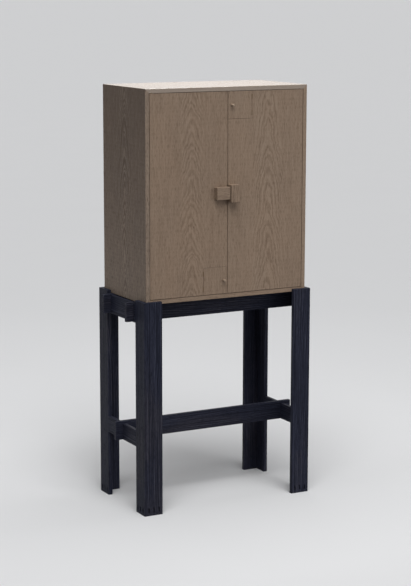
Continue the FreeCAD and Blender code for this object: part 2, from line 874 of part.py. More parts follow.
door_side = inner_half_width - dim.door_gap
door_end = half_height - dim.panel_thickness - dim.door_gap
door_seam = dim.seam_gap / 2
hatch_line = half_height - dim.panel_thickness - dim.door_gap / 2 - dim.hatch_height
hatch_low = hatch_line + dim.hatch_gap / 2
hatch_edge = dim.hatch_width - dim.hatch_gap / 2
hatch_thickness = dim.door_thickness - dim.hatch_stop_clear
hatch_hinge_places = (hatch_low + dim.hatch_hinge_inset, door_end - dim.hatch_hinge_inset)
knob_z = (hatch_low + door_end) / 2
magnet_x = door_seam + dim.plate_inset + dim.plate_width / 2
magnet_rise = dim.stop_reach / 2 + dim.hatch_gap / 2
fold_near = -door_seam - dim.fold_shelf_edge
fold_far = fold_near - dim.fold_shelf_width
fold_axis_z = dim.fold_shelf_rise - half_height
fold_hinge_x = (fold_near - dim.flap_hinge_inset, fold_far + dim.flap_hinge_inset)
bracket_x = (fold_near + fold_far) / 2
bracket_top = fold_axis_z + flap_axis_y - flap_end_y - dim.support_gap
bracket_base = bracket_top - dim.bracket_height
bracket_hinge_z = (bracket_top - dim.bracket_hinge_inset,
                   bracket_base + dim.bracket_hinge_inset)
fold_magnet_x = (fold_near + fold_far) / 2 + dim.finger_notch_radius * 2
fold_magnet_z = fold_axis_z + flap_foot + dim.fold_shelf_depth - dim.finger_notch_radius


def cut_hinge_seats(body, side, base):
    """Let the hatch hinges into an edge: the door's for side +1, the hatch's for -1."""
    hinge = HATCH_HINGE
    reach = (hinge.offset + hinge.leaf) * side
    half = hinge.length / 2
    for level in hatch_hinge_places:
        middle = level - base
        cut_block(body, (dim.hatch_width, dim.hatch_width + reach),
                  (0, hinge.knuckle + dim.knuckle_relief + hinge.width),
                  (middle - half, middle + half))
        cut_bore(body, (dim.hatch_width, 0, middle - half),
                 hinge.knuckle + dim.knuckle_relief, hinge.length)


HANDLES = {
    "left": (dim.left_handle_width, dim.left_handle_height, dim.left_handle_rise,
             dim.handle_proud - dim.handle_step),
    "right": (dim.right_handle_width, dim.right_handle_height, dim.right_handle_rise,
              dim.handle_proud),
}


def handle_screw_spots(door, side):
    """Where a handle's two screws go, as (x, z) in the front's frame, unturned."""
    width, height, rise, proud = HANDLES[door]
    x = (door_seam + width / 2) * side
    if side < 0:
        return [(x + dim.handle_screw_spread * end, rise) for end in (-1, 1)]
    return [(x, rise + dim.handle_screw_spread * end) for end in (-1, 1)]


def make_door_panel(door, side):
    body = new_body(f"{door}_door_panel", *on_door(side))
    profile = sketch_on(body, "XZ_Plane")
    edge_x = dim.hatch_width + dim.hatch_gap / 2
    edge_z = hatch_line - dim.hatch_gap / 2
    outline(profile, [(door_seam, -door_end), (door_side, -door_end), (door_side, door_end),
                      (edge_x, door_end), (edge_x, edge_z), (door_seam, edge_z)])
    pad(body, profile, dim.door_thickness, reverse=True)
    ease(body, dim.arris / 2, lies_in("Y", 0))
    bush = dim.pivot_radius + dim.running_clear + dim.bush_wall + dim.press_clear
    for level, rotation in ((1, DOWN), (-1, UP)):
        cut_bore(body, (door_side - dim.pivot_inset, dim.pivot_depth, door_end * level),
                 bush, dim.bush_length, rotation)
    cut_hinge_seats(body, 1, as_size(0))
    for x, z in handle_screw_spots(door, side):
        spot = (x * side, dim.door_thickness, z * side)
        cut_bore(body, spot, dim.handle_screw_radius + dim.screw_clear, dim.door_thickness,
                 FORWARD)
        cut_countersink(body, spot, dim.handle_screw_head + dim.screw_clear,
                        dim.handle_screw_radius + dim.screw_clear, FORWARD)
    if side < 0:
        half = dim.plate_height / 2
        cut_block(body, (-fold_magnet_x - half, -fold_magnet_x + half),
                  (dim.door_thickness - dim.plate_thickness, dim.door_thickness),
                  (-fold_magnet_z - half, -fold_magnet_z + half))


def make_handle(door, side):
    width, height, rise, proud = HANDLES[door]
    middle_x = (door_seam + width / 2) * side
    body = new_body(f"{door}_handle", (middle_x, front_y, middle_z + rise))
    add_block(body, (-width / 2, width / 2), (-proud, 0),
              (-height / 2, height / 2))
    ease(body, dim.handle_arris, lambda edge: not lies_in("Y", 0)(edge))
    screws = []
    for x, z in handle_screw_spots(door, side):
        cut_bore(body, (x - middle_x, 0, z - rise),
                 dim.handle_screw_radius + dim.screw_clear,
                 dim.handle_screw_bite + BORE_EASE, FORWARD)
        screws.append(countersunk_screw(
            (x, dim.door_thickness, z), dim.handle_screw_radius, dim.handle_screw_head,
            dim.door_thickness + dim.handle_screw_bite, FORWARD))
    group(f"{door}_handle_screws", screws, (0, front_y, middle_z))


def make_door_metal(door, side):
    """Pivot bushes, the fixed halves of the hatch hinges, and the steel plates."""
    bushes = []
    bore = dim.pivot_radius + dim.running_clear
    for level, rotation in ((1, DOWN), (-1, UP)):
        spot = (door_side - dim.pivot_inset, dim.pivot_depth, door_end * level)
        sleeve = rod(spot, bore + dim.bush_wall, dim.bush_length, rotation)
        bushes.append(cut(sleeve, rod(spot, bore, dim.bush_length, rotation)))
    group(f"{door}_door_bushes", bushes, *on_door(side))

    leaves = []
    pins = []
    for level in hatch_hinge_places:
        spot = (dim.hatch_width, 0, level)
        leaves.append(hinge_leaf(HATCH_HINGE, 1, spot, UP))
        pins.append(hinge_pin(HATCH_HINGE, spot, UP))
    group(f"{door}_hatch_hinge_door_leaves", leaves, *on_door(side))
    group(f"{door}_hatch_hinge_pins", pins, *on_door(side))

    near = dim.door_thickness
    far = near + dim.plate_thickness
    start = door_seam + dim.plate_inset
    end = start + dim.plate_width
    ledge = hatch_line - dim.hatch_gap / 2
    strike_low = dim.door_gap - door_end
    plates = [box((start, end), (near, far), (strike_low, strike_low + dim.plate_height)),
              box((start, end), (near, far), (ledge - dim.plate_height, ledge + dim.stop_reach))]
    if side < 0:
        half = dim.plate_height / 2
        plates.append(box((-fold_magnet_x - half, -fold_magnet_x + half),
                          (near - dim.plate_thickness, near),
                          (-fold_magnet_z - half, -fold_magnet_z + half)))
    group(f"{door}_door_catch_plates", plates, *on_door(side))


def make_hatch(door, side):
    body = new_body(f"{door}_hatch_panel", *on_door(side, z=hatch_low))
    profile = sketch_on(body, "XY_Plane")
    outline(profile, [(door_seam, 0), (hatch_edge, 0), (hatch_edge, hatch_thickness),
                      (door_seam + dim.hatch_bevel, hatch_thickness)])
    pad(body, profile, door_end - hatch_low)
    ease(body, dim.arris / 2, lies_in("Y", 0))
    cut_hinge_seats(body, -1, hatch_low)
    knob_spot = (dim.knob_inset, 0, knob_z - hatch_low)
    cut_bore(body, knob_spot, dim.knob_stud_radius + dim.screw_clear,
             dim.knob_stud + BORE_EASE, BACKWARD)
    magnet_spot = (magnet_x, hatch_thickness, magnet_rise)
    cut_bore(body, magnet_spot, dim.magnet_radius + dim.press_clear, dim.magnet_thickness,
             FORWARD)

    leaves = []
    for level in hatch_hinge_places:
        leaves.append(hinge_leaf(HATCH_HINGE, -1, (dim.hatch_width, 0, level), UP))
    group(f"{door}_hatch_hinge_leaves", leaves, *on_door(side))

    knob = new_body(f"{door}_hatch_knob", *on_door(side, x=dim.knob_inset, z=knob_z))
    turned = sketch_on(knob, "XY_Plane")
    wide = dim.knob_radius
    edge = dim.knob_edge
    outline(turned, [(0, dim.knob_stud), (dim.knob_stud_radius, dim.knob_stud),
                     (dim.knob_stud_radius, 0), (dim.knob_neck_radius, 0),
                     (dim.knob_neck_radius, -dim.knob_neck), (wide - edge, -dim.knob_neck),
                     (wide, -dim.knob_neck - edge), (wide, edge - dim.knob_proud),
                     (wide - edge, -dim.knob_proud), (0, -dim.knob_proud)])
    lathe = knob.newObject("PartDesign::Revolution", "Turned")
    lathe.Profile = turned
    lathe.ReferenceAxis = (turned, ["V_Axis"])
    lathe.Angle = 360

    magnet = new_body(f"{door}_hatch_magnet",
                      *on_door(side, x=magnet_x, y=hatch_thickness, z=hatch_low + magnet_rise))
    set_rod(magnet.newObject("PartDesign::AdditiveCylinder", "Disc"), (0, 0, 0),
            dim.magnet_radius, dim.magnet_thickness, FORWARD)


# ---------------------------------------------------------------- fold-out shelf

FRONT = (0, front_y, middle_z)
SHELF_FIXED = axes((0, -1, 0), (0, 0, -1), (1, 0, 0))
SHELF_MOVING = axes((0, 0, -1), (0, 1, 0), (1, 0, 0))
BRACKET_FIXED = axes((0, -1, 0), (-1, 0, 0), (0, 0, -1))
BRACKET_MOVING = axes((-1, 0, 0), (0, 1, 0), (0, 0, -1))


def make_fold_out_shelf():
    """The shelf board, folded up flat against the left door, and its moving leaves."""
    foot = fold_axis_z + flap_foot
    head = foot + dim.fold_shelf_depth
    board = new_body("fold_out_shelf", FRONT)
    add_block(board, (fold_far, fold_near), (flap_start_y, flap_end_y), (foot, head))
    at_head = lies_in("Z", head)
    round_off(board, dim.fold_shelf_corner, lambda edge: abs(edge.CenterOfMass.z - head.value)
              < TOUCH and edge.Length < 2 * dim.flap_thickness.value and at_head(edge))
    ease(board, dim.arris, lambda edge: lies_in("Y", flap_end_y)(edge)
         or lies_in("Y", flap_start_y)(edge))
    cut_bore(board, ((fold_near + fold_far) / 2, flap_start_y, head), dim.finger_notch_radius,
             dim.flap_thickness, BACKWARD)
    cut_bore(board, (fold_magnet_x, flap_start_y, fold_magnet_z),
             dim.magnet_radius + dim.press_clear, dim.magnet_thickness, BACKWARD)

    magnet = new_body("fold_out_shelf_magnet", (fold_magnet_x, front_y + flap_start_y,
                                                middle_z + fold_magnet_z))
    set_rod(magnet.newObject("PartDesign::AdditiveCylinder", "Disc"), (0, 0, 0),
            dim.magnet_radius, dim.magnet_thickness, BACKWARD)

    leaves = [hinge_leaf(FLAP_HINGE, -1, (x, flap_axis_y, fold_axis_z), SHELF_MOVING)
              for x in fold_hinge_x]
    group("fold_out_shelf_hinge_leaves", leaves, FRONT)


def make_bracket():
    """The bracket that swings out under the shelf, folded flat against the left door."""
    start = bracket_x + flap_foot
    bracket = new_body("shelf_bracket", (start, front_y + flap_start_y, middle_z + bracket_base))
    profile = sketch_on(bracket, "XZ_Plane")
    tall = dim.bracket_height
    outline(profile, [(0, 0), (dim.bracket_nose, 0),
                      (dim.bracket_length, tall - dim.bracket_nose),
                      (dim.bracket_length, tall), (0, tall)])
    pad(bracket, profile, dim.flap_thickness, reverse=True)
    ease(bracket, dim.arris, lambda edge: lies_in("Y", 0)(edge)
         or lies_in("Y", dim.flap_thickness)(edge))
    leaves = [hinge_leaf(FLAP_HINGE, -1, (bracket_x, flap_axis_y, z), BRACKET_MOVING)
              for z in bracket_hinge_z]
    group("shelf_bracket_hinge_leaves", leaves, FRONT)


def make_flap_hinges():
    """The leaves and pins of the shelf's and bracket's hinges that stay on the door."""
    leaves = []
    pins = []
    spots = [((x, flap_axis_y, fold_axis_z), SHELF_FIXED) for x in fold_hinge_x]
    spots += [((bracket_x, flap_axis_y, z), BRACKET_FIXED) for z in bracket_hinge_z]
    for spot, rotation in spots:
        leaves.append(hinge_leaf(FLAP_HINGE, 1, spot, rotation))
        pins.append(hinge_pin(FLAP_HINGE, spot, rotation))
    group("shelf_hinge_door_leaves", leaves, FRONT)
    group("shelf_hinge_pins", pins, FRONT)


# ---------------------------------------------------------------- build and write

make_stand()
make_cabinet()
for door_name, door_sign in (("left", -1), ("right", 1)):
    make_door_panel(door_name, door_sign)
    make_handle(door_name, door_sign)
    make_door_metal(door_name, door_sign)
    make_hatch(door_name, door_sign)
make_fold_out_shelf()
make_bracket()
make_flap_hinges()
document.recompute()

for item in document.Objects:
    if "Invalid" in item.State or "Error" in item.State:
        raise RuntimeError(f"{item.Name} failed: {item.State}")
for item in NODES:
    if item.Shape.isNull() or not item.Shape.isValid():
        raise RuntimeError(f"{item.Label} has no valid shape")

os.makedirs("parts", exist_ok=True)
for item in NODES:
    item.Shape.exportStep(os.path.join("parts", f"{item.Label}.step"))
    print(f"{item.Label}: {len(item.Shape.Solids)} solids, {item.Shape.Volume:.0f} mm3")
print(f"{len(NODES)} nodes")
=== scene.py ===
# %% [markdown]
# # A bar cabinet with a fold-out shelf
# The cabinet is a plain box of greyed oak veneer on a black-stained oak stand. Almost
# nothing on it is ornament, so the looks are in the wood: how the sheet of veneer was
# sliced, how the pores lie in it, and how the light runs over the arrises. The lesson
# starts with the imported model, which holds every board, hinge and screw at its real size.

import json
import math

import bpy
import numpy as np
from mathutils import Matrix, Vector


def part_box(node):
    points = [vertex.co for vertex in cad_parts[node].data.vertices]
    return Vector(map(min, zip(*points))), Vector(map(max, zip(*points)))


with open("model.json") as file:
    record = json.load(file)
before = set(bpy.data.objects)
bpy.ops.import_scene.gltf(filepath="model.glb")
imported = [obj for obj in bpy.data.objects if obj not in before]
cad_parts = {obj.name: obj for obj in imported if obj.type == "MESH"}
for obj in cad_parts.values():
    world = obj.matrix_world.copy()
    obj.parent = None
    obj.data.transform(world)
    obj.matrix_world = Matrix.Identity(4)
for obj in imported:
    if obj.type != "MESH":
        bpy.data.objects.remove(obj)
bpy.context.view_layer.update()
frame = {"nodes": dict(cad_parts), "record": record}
nodes = frame["nodes"]

# %% [markdown]
# ## The camera
# A long lens from far off keeps the uprights of tall furniture nearly parallel. A camera can
# be aimed with a Track To constraint, but a constraint has no place for a small roll, so
# the three turns are multiplied here: turn to the heading, tip down, then roll about the
# line of sight.

# %% Camera
IMAGE_WIDTH = 411
FOCAL_LENGTH_PIXELS = 1706.98
SENSOR_WIDTH = 36.0
FARTHEST_SEEN = 2000.0
CAMERA_PLACE = (-3.1461, -5.8638, 2.0003)
CAMERA_HEADING = math.radians(28.218)
CAMERA_DIP = math.radians(10.115)
CAMERA_ROLL = math.radians(0.108)

lens = bpy.data.cameras.new("studio_camera")
lens.sensor_fit = "HORIZONTAL"
lens.sensor_width = SENSOR_WIDTH
lens.lens = FOCAL_LENGTH_PIXELS / IMAGE_WIDTH * SENSOR_WIDTH
lens.clip_end = FARTHEST_SEEN
camera = bpy.data.objects.new("studio_camera", lens)
bpy.context.scene.collection.objects.link(camera)
bpy.context.scene.camera = camera
camera.matrix_world = (Matrix.Translation(CAMERA_PLACE)
                       @ Matrix.Rotation(-CAMERA_HEADING, 4, "Z")
                       @ Matrix.Rotation(math.pi / 2 - CAMERA_DIP, 4, "X")
                       @ Matrix.Rotation(CAMERA_ROLL, 4, "Z"))
bpy.context.scene.view_settings.view_transform = "Standard"
print("lens", round(lens.lens, 1), "mm")

# %% [markdown]
# ## Sums in a finish
# A wood finish is mostly arithmetic: distances, ring counts, masks. Wiring fifty Math
# nodes by hand hides that arithmetic, so a small class stands for one socket and turns
# `+ - * /` into Math nodes. Noise comes out around a half, so one more word, swing,
# centres it on zero and says how far it may carry what it is added to.

# %% Signal
class Signal:
    """One output socket. Arithmetic on it adds Math nodes and gives the new output."""

    def __init__(self, finish, socket):
        self.finish = finish
        self.socket = socket

    def __add__(self, other):
        return self.finish.math("ADD", self, other)

    __radd__ = __add__

    def __sub__(self, other):
        return self.finish.math("SUBTRACT", self, other)

    def __rsub__(self, other):
        return self.finish.math("SUBTRACT", other, self)

    def __mul__(self, other):
        return self.finish.math("MULTIPLY", self, other)

    __rmul__ = __mul__

    def __truediv__(self, other):
        return self.finish.math("DIVIDE", self, other)

    def __rtruediv__(self, other):
        return self.finish.math("DIVIDE", other, self)

    def swing(self, span):
        """A signal from 0 to 1, centred on zero and made this wide from end to end."""
        return (self - 0.5) * span


print("Signal is ready")

# %% [markdown]
# ### One way to add a node
# A node tree could be written as a list of nodes and a list of wires, but then a reader has
# to join the two. Here one method adds any node: it sets the node's own settings first and
# then its sockets, with a value or a wire, and gives back what the node puts out.

# %% Recipe
class Recipe:
    """A node tree being written, either a new material's or one that is given."""

    def __init__(self, name, tree=None):
        if tree is None:
            self.material = bpy.data.materials.new(name)
            self.material.use_nodes = True
            tree = self.material.node_tree
        self.tree = tree
        self.tree.nodes.clear()

    def node(self, kind, settings=None, inputs=None, output=0):
        """Adds one node and gives one of its outputs, or all of them where output is None."""
        made = self.tree.nodes.new(kind)
        for key, value in (settings or {}).items():
            if key == "stops":
                self._set_stops(made.color_ramp, value)
            else:
                setattr(made, key, value)
        for key, value in (inputs or {}).items():
            if isinstance(value, Signal):
                self.tree.links.new(value.socket, made.inputs[key])
            else:
                made.inputs[key].default_value = value
        if output is None:
            return [Signal(self, socket) for socket in made.outputs]
        return Signal(self, made.outputs[output]) if len(made.outputs) else made

    def _set_stops(self, ramp, stops):
        while len(ramp.elements) < len(stops):
            ramp.elements.new(1.0)
        for element, (place, colour) in zip(ramp.elements, stops):
            element.position = place
            element.color = (*colour, 1.0)

    def math(self, operation, *terms):
        return self.node("ShaderNodeMath", {"operation": operation}, dict(enumerate(terms)))


print("Recipe is ready")

# %% [markdown]
# ### Nodes that every finish shares
# Wood, metal and floor need the same few nodes: where a point is, noise, a smooth step, a
# colour for a number, a mix, a bump. Each gets one short method, so that a recipe reads as
# a few lines of its own. A node group could hold them too, but a group hides its numbers.

# %% Finish
class Finish(Recipe):
    """A material being mixed, with a short name for each common node."""

    def rise(self, value, start, end, low=0.0, high=1.0):
        """A smooth step: low before start, high after end."""
        return self.node("ShaderNodeMapRange", {"interpolation_type": "SMOOTHSTEP"},
                         {"Value": value, "From Min": start, "From Max": end,
                          "To Min": low, "To Max": high})

    def place(self):
        """Where a point of a piece is when the model is at rest, in metres."""
        return self.node("ShaderNodeTexCoord", output="Object")

    def stretched(self, vector, factors):
        return self.node("ShaderNodeVectorMath", {"operation": "MULTIPLY"},
                         {0: vector, 1: factors})

    def noise(self, vector, repeats, detail=2.0, roughness=0.5):
        """Cloudy noise about 0.5, with so many features in each metre of the vector."""
        return self.node("ShaderNodeTexNoise", {"noise_dimensions": "3D"},
                         {"Vector": self.stretched(vector, repeats), "Scale": 1.0,
                          "Detail": detail, "Roughness": roughness})

    def line_noise(self, value):
        """Noise along a line, about 0.5 with features about one unit of the value long."""
        return self.node("ShaderNodeTexNoise", {"noise_dimensions": "1D"},
                         {"W": value, "Scale": 1.0, "Detail": 1.0})

    def ramp(self, value, stops):
        return self.node("ShaderNodeValToRGB", {"stops": stops}, {0: value})

    def mix(self, share, first, second, blend="MIX"):
        """Colour first where share is 0, second where it is 1. A Mix node keeps its two
        colours in inputs 6 and 7 and gives a colour from output 2."""
        colours = [c if isinstance(c, Signal) else (*c, 1.0) for c in (first, second)]
        return self.node("ShaderNodeMix", {"data_type": "RGBA", "blend_type": blend},
                         {0: share, 6: colours[0], 7: colours[1]}, output=2)

    def bump(self, height, depth, strength):
        """Tilts the normal for a relief of height (0 to 1) times depth, in metres."""
        return self.node("ShaderNodeBump", None,
                         {"Strength": strength, "Distance": depth, "Height": height})

    def surface(self, colour, roughness, metallic=0.0, normal=None, **constants):
        """Closes the recipe with one Principled shader; constants go on its own sockets."""
        inputs = {"Base Color": colour, "Roughness": roughness, "Metallic": metallic}
        if normal is not None:
            inputs["Normal"] = normal
        for key, value in constants.items():
            inputs[key.replace("_", " ")] = value
        shader = self.node("ShaderNodeBsdfPrincipled", None, inputs)
        self.node("ShaderNodeOutputMaterial", None, {"Surface": shader})
        return self.material


print("Finish is ready")

# %% [markdown]
# ## Studio
# Tall dark legs under a pale box need light that reaches both. One broad lamp far off in
# front, high and a little to the left, draws the shadows under the handles; a weaker one at
# the right fills them and a softbox above brings up the top; the air gives the rest. A
# lit card behind, just above the top's height, is there to be mirrored in the oiled top,
# which a camera sees at a flat angle. Lamps could stand all round, but then the sides
# would be as bright as the front and the box would look flat. The softbox and the card
# are hidden from the camera, which may stand anywhere, and the low fill is kept out of
# reflections, where a camera behind the box would see it glare off the top.

# %% Lights
def add_lamp(name, kind, place, towards, power, **settings):
    """Adds a lamp at place that shines towards a point; its settings follow its kind."""
    lamp = bpy.data.lights.new(name, kind)
    lamp.energy = power
    for key, value in settings.items():
        setattr(lamp, key, value)
    holder = bpy.data.objects.new(name, lamp)
    bpy.context.scene.collection.objects.link(holder)
    aim = Vector(towards) - Vector(place)
    turn = aim.to_track_quat("-Z", "Y").to_matrix().to_4x4()
    holder.matrix_world = Matrix.Translation(place) @ turn
    holder.visible_camera = False
    return holder


add_lamp("key_lamp", "SUN", place=(-1.63, -4.48, 8.83), towards=(0.0, 0.0, 1.2),
         power=2.42, angle=math.radians(44))
fill_lamp = add_lamp("fill_lamp", "SUN", place=(5.1, -7.2, 2.3), towards=(0.0, 0.0, 1.0),
                     power=0.72, angle=math.radians(40))
fill_lamp.visible_glossy = False
add_lamp("overhead_softbox", "AREA", place=(0.04, 0.0, 2.5), towards=(0.04, 0.0, 1.6),
         power=17.0, shape="RECTANGLE", size=0.9, size_y=0.5)
add_lamp("rear_card", "AREA", place=(1.75, 3.3, 2.25), towards=(0.0, 0.0, 1.6),
         power=3.2, shape="RECTANGLE", size=3.2, size_y=1.5)
print(len(bpy.data.lights), "lamps")

# %% [markdown]
# ### Air
# The world lights every surface a little, and it is also what a camera sees past the
# floor. Those two jobs want different strengths, so Light Path tells them apart: rays
# that come from the camera, a reflection or glass see the pale backdrop, and rays that
# only light the wood see a dimmer one.

# %% World
AIR_LIGHT = (0.1200, 0.1200, 0.1224)
BACKDROP = (0.640, 0.645, 0.655)
SEEING_RAYS = ("Is Camera Ray", "Is Glossy Ray", "Is Transmission Ray")


def seen_directly(finish):
    """1 for rays of the camera, of reflections and through glass, 0 for lighting rays."""
    rays = finish.node("ShaderNodeLightPath", output=None)
    camera_ray, glossy_ray, through_ray = [ray for ray in rays
                                           if ray.socket.name in SEEING_RAYS]
    return finish.math("MAXIMUM", finish.math("MAXIMUM", camera_ray, glossy_ray), through_ray)


world = bpy.data.worlds.new("studio_air")
world.use_nodes = True
bpy.context.scene.world = world
air = Finish("studio_air", world.node_tree)
glow = air.node("ShaderNodeBackground", None, {"Color": (*AIR_LIGHT, 1.0), "Strength": 1.0})
backdrop = air.node("ShaderNodeBackground", None, {"Color": (*BACKDROP, 1.0), "Strength": 1.0})
chosen = air.node("ShaderNodeMixShader", None, {0: seen_directly(air), 1: glow, 2: backdrop})
air.node("ShaderNodeOutputWorld", None, {"Surface": chosen})
print("air light", AIR_LIGHT, "backdrop", BACKDROP)

# %% [markdown]
# ### Floor
# One huge square would do for a floor, but it would leave the cabinet standing in the
# middle of a single face. This floor is a disc of rings that grow outwards, so its faces
# are small where the legs stand. Its colour plays the same two parts as the air's, so
# that it looks pale and still doesn't flood the underside with light.

# %% Floor
FLOOR_SEEN = (0.760, 0.765, 0.775)
FLOOR_DARKEST_SHARE = 0.985
FLOOR_CLOUDS = (1.6, 1.6, 1.6)
FLOOR_LIGHTING = (0.31, 0.31, 0.315)
FLOOR_RADIUS = 400.0


def disc_mesh(name, radius, rings=12, spokes=72):
    """A flat disc: rings of points whose radius grows with the cube of the ring's share, so
    that faces are small in the middle, each joined to the next by quads, and a centre fan."""
    share = np.linspace(0.0, 1.0, rings + 1)[1:] ** 3 * radius
    turn = np.arange(spokes) * 2 * np.pi / spokes
    grid = np.stack([share[:, None] * np.cos(turn), share[:, None] * np.sin(turn),
                     np.zeros((rings, spokes))], -1).reshape(-1, 3)
    points = np.vstack([[[0.0, 0.0, 0.0]], grid])
    here = 1 + np.arange(spokes)
    after = 1 + (np.arange(spokes) + 1) % spokes
    fan = np.stack([np.zeros_like(here), here, after], -1)
    inner = spokes * np.arange(rings - 1)[:, None]
    outer = inner + spokes
    quads = np.stack([inner + here, outer + here, outer + after, inner + after], -1)
    mesh = bpy.data.meshes.new(name)
    mesh.from_pydata(points.tolist(), [], fan.tolist() + quads.reshape(-1, 4).tolist())
    return mesh


floor_finish = Finish("studio_floor")
cloud = floor_finish.noise(floor_finish.place(), FLOOR_CLOUDS, detail=3.0)
floor_dark = tuple(FLOOR_DARKEST_SHARE * part for part in FLOOR_SEEN)
seen_colour = floor_finish.mix(cloud, floor_dark, FLOOR_SEEN)
floor_finish.surface(floor_finish.mix(seen_directly(floor_finish), FLOOR_LIGHTING, seen_colour),
                     roughness=0.9, Specular_IOR_Level=0.1)
floor = bpy.data.objects.new("studio_floor", disc_mesh("studio_floor", FLOOR_RADIUS))
bpy.context.scene.collection.objects.link(floor)
floor.data.materials.append(floor_finish.material)
print("floor", FLOOR_RADIUS, "m in radius,", len(floor.data.polygons), "faces")

# %% [markdown]
# ## How a board shows its tree
# Every wooden piece here needs to know three directions: across its grain, along it and
# through its thickness. A texture could be unwrapped onto each face, but then the grain
# would break at every arris. Reading the piece's own coordinates keeps the figure solid:
# it runs over the arris and out at the end grain, as in real timber.

# %% Directions in a board
AXES = {"x": 0, "y": 1, "z": 2}


def board_space(finish, across, along, through, centre):
    """Metres across the grain, along it and through the board, from centre, and the
    three as one vector."""
    parts = finish.node("ShaderNodeSeparateXYZ", None, {0: finish.place()}, output=None)
    u, v, w = [parts[AXES[axis]] - middle
               for axis, middle in zip((across, along, through), centre)]
    return u, v, w, finish.node("ShaderNodeCombineXYZ", None, {0: u, 1: v, 2: w})


print("board_space reads", list(AXES))

# %% [markdown]
# ### Lines in a growth ring
# Each ring brightens and darkens again, and no two rings are equally wide. A wood texture
# node only makes even bands or circles. Counting rings instead leaves both to a few
# numbers: noise moves the count, its fraction is the place within one ring, and the pale
# line rises and falls there.

# %% Ring lines
def ring_line(finish, count, seed, wander, wander_repeats, brightens, darkens):
    """How light a ring line is, 0 to 1, and the share of its ring that a point has passed.
    Noise moves the count by up to half of wander rings either way, with wander_repeats
    features in a ring. The line brightens and darkens over two stretches of each ring."""
    uneven = count + finish.line_noise(count * wander_repeats + seed).swing(wander)
    part = finish.math("FRACT", uneven)
    line = finish.rise(part, *brightens) * finish.rise(part, *darkens, low=1.0, high=0.0)
    return line, part


print("ring_line is ready")

# %% [markdown]
# ### Arches of a sliced sheet
# A veneer slicer cuts flat sheets off a log, and each sheet passes the pith at one side.
# Growth rings are cones stacked up the trunk, so where the sheet runs closest to the pith
# they come out as arches, one above the other, and towards the sides they run out into
# straight lines. An arch could be drawn as a curve, but a trunk draws it by itself: the
# ring count is the distance from the pith plus a taper times the height. Noise moves the
# pith, bunches the rings and ripples them.

# %% Ring arches
PITH_DRIFT = 0.022            # metres that the pith wanders sideways
PITH_DRIFT_REPEATS = 3.1
BUNCHING = 0.11               # metres of trunk by which rings close up or spread
BUNCHING_REPEATS = 6.0
BUNCHING_SEED = 17.3
RIPPLE = 1.3                  # rings
RIPPLE_REPEATS = (44.0, 26.0, 9.0)
SHEET_RINGS = {"wander": 2.1, "wander_repeats": 0.38,
               "brightens": (0.02, 0.34), "darkens": (0.46, 0.98)}
FADING = (0.45, 1.5)          # of the reach: where the arches start to fade and are gone


def ring_arches(finish, u, v, w, space, pith, taper, ring, reach, seed):
    """How light a ring line is, how strongly it shows, both 0 to 1, and the share of its
    ring that a point has passed. The ring count is (distance from the pith + taper times
    height + ripple) / ring."""
    drift = finish.line_noise(v * PITH_DRIFT_REPEATS + seed).swing(PITH_DRIFT)
    bunch = finish.line_noise(v * BUNCHING_REPEATS + (seed + BUNCHING_SEED)).swing(BUNCHING)
    ripple = finish.noise(space, RIPPLE_REPEATS).swing(ring * RIPPLE)
    crown = u + drift
    depth = w + pith
    radius = finish.math("SQRT", crown * crown + depth * depth)
    count = (radius + (v + bunch) * taper + ripple) / ring
    line, part = ring_line(finish, count, seed, **SHEET_RINGS)
    fade_start, fade_end = [reach * share for share in FADING]
    shown = finish.rise(finish.math("ABSOLUTE", crown), fade_start, fade_end, low=1.0, high=0.0)
    return line, shown, part


print("rings ripple by", RIPPLE, "and wander by", SHEET_RINGS["wander"], "rings")

# %% [markdown]
# ### Fibres and pores
# Oak's spring wood is full of long open pores, and under a matt oil they are the darkest
# marks on the board. Between them run bands, flecks and fibres. One stretched noise looks
# like brushed metal, so four are used, each with its own length and width, given as
# features in a metre across, along and through the board.

# %% Fibres and pores
BAND_REPEATS = (115.0, 2.6, 70.0)
FLECK_REPEATS = (360.0, 27.0, 270.0)
FIBRE_REPEATS = (620.0, 15.0, 480.0)
PORE_REPEATS = (1600.0, 62.0, 1400.0)
SEED_STEP = (0.37, 0.53, 0.71)


def fibres(finish, space, seed):
    """Streak patterns along the grain: broad bands, flecks and fibres by name, and pores.
    The seed moves them, so that no two sheets are alike."""
    moved = finish.node("ShaderNodeVectorMath", {"operation": "ADD"},
                        {0: space, 1: tuple(seed * step for step in SEED_STEP)})
    streaks = {"band": finish.noise(moved, BAND_REPEATS, roughness=0.55),
               "fleck": finish.noise(moved, FLECK_REPEATS),
               "fibre": finish.noise(moved, FIBRE_REPEATS, detail=3.0, roughness=0.6)}
    return streaks, finish.noise(moved, PORE_REPEATS, detail=1.0, roughness=0.4)


def open_pores(finish, pore, fleck, ring_share, off_flecks, opening):
    """1 in an open pore and 0 on sound wood. A pore opens where its noise is high: flecks
    keep pores off, and ring_share draws them to one side of each ring."""
    return finish.rise(pore + (0.5 - fleck) * off_flecks + ring_share, *opening)


def added_swings(layers, spans):
    """The layers added up, each centred on zero and as wide as the span of its name."""
    first, *others = [layer.swing(spans[name]) for name, layer in layers.items()]
    return sum(others, first)


print("pores come about every", round(1000 / PORE_REPEATS[1]), "mm along the grain")

# %% [markdown]
# ## Greyed oak veneer
# The oil on this veneer is grey-brown and quite matt. Everything in the sheet, rings,
# fibres, pores and slow blotches, moves one number, the tone, along one short range of
# browns. A colour for each layer would be easier to steer alone, but the layers then
# look like paint on wood instead of wood.

